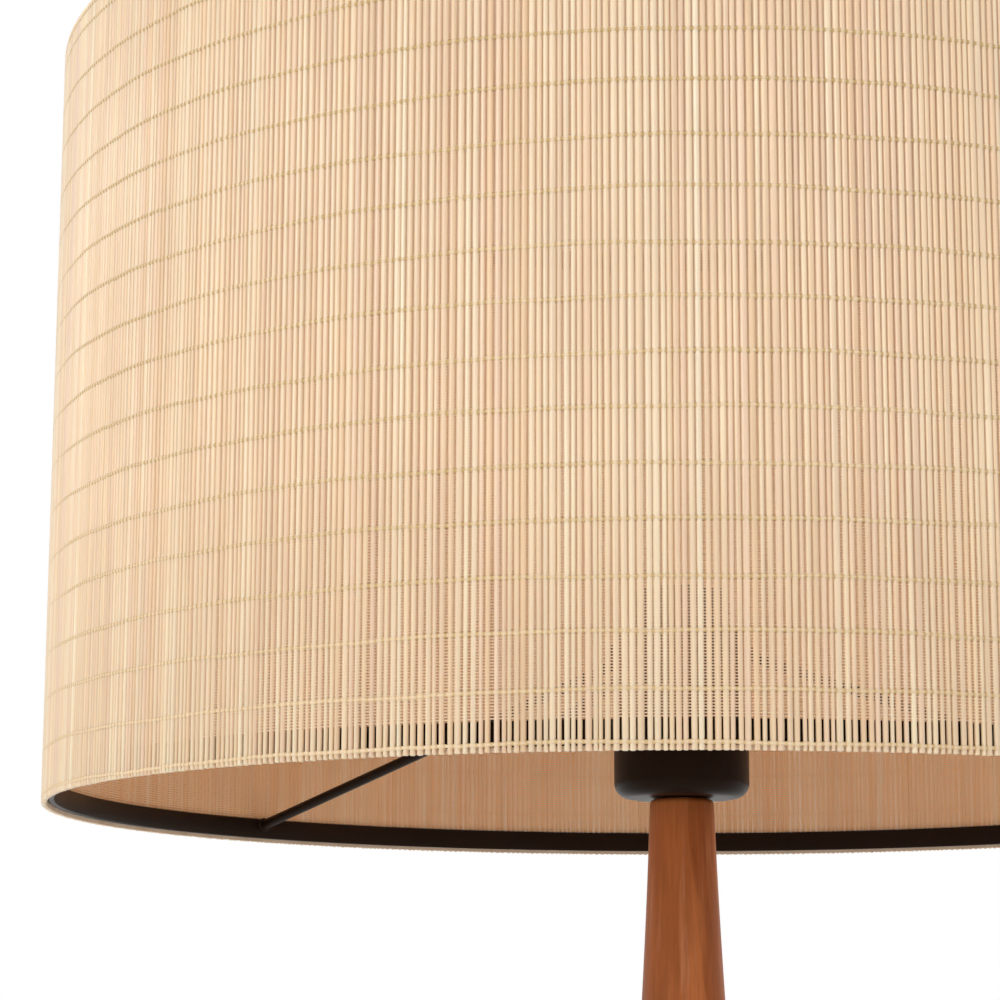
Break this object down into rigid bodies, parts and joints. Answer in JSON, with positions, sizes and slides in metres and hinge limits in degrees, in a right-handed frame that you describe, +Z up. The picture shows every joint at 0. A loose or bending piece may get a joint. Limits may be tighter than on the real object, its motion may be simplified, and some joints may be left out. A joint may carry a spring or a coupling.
{
  "type": "floor lamp",
  "caption": "Floor lamp with a drum shade of upright reeds, a turned wooden column, a black cup round the lamp holder and a round weighted base.",
  "frame": {"origin": "centre of the round base, on the floor", "axes": "+Z up along the column; -Y is the side the picture is taken from; the switch knob faces +Y"},
  "size_m": [0.457, 0.457, 1.524],
  "materials": {
    "reed": "pale natural reeds tied with thread, matte",
    "liner_mesh": "fine open mesh",
    "black_metal": "satin black powder coat",
    "column_wood": "turned brown wood, oiled, upright grain",
    "steel": "zinc plated",
    "brass": "plain",
    "cast_iron": "rough casting",
    "black_resin": "moulded black resin",
    "white_ceramic": "glazed",
    "rubber": "matte",
    "felt": "pressed felt"
  },
  "bodies": {
    "lamp": {"base_pad": "felt", "base_weight": "cast_iron", "base_cover": "black_metal", "base_washer": "steel", "base_nut": "steel", "cord_grommet": "rubber", "foot_collar": "black_metal", "column_lower": "column_wood", "column_middle": "column_wood", "column_upper": "column_wood", "pipe_lower": "steel", "pipe_coupler": "steel", "pipe_upper": "steel", "holder_cup": "black_metal", "cup_washer": "steel", "cup_nut": "steel", "holder_cap": "black_resin", "holder_core": "white_ceramic", "holder_shell": "black_resin", "screw_shell": "brass", "centre_contact": "brass", "terminal_screw_1": "brass", "terminal_screw_2": "brass", "spider_hub": "black_metal", "shade_ring": "black_metal", "spider_arm_1": "black_metal", "spider_arm_2": "black_metal", "spider_arm_3": "black_metal", "shade_bottom_ring": "black_metal", "shade_top_ring": "black_metal", "shade_liner": "liner_mesh", "shade_reeds": "reed"},
    "switch": {"switch_shaft": "brass", "switch_knob": "black_resin"}
  },
  "joints": [
    {"name": "switch_turn", "type": "hinge", "parent": "lamp", "child": "switch", "pos_m": [0, 0.03, 1.277], "axis": [0, 1, 0], "continuous": true}
  ]
}
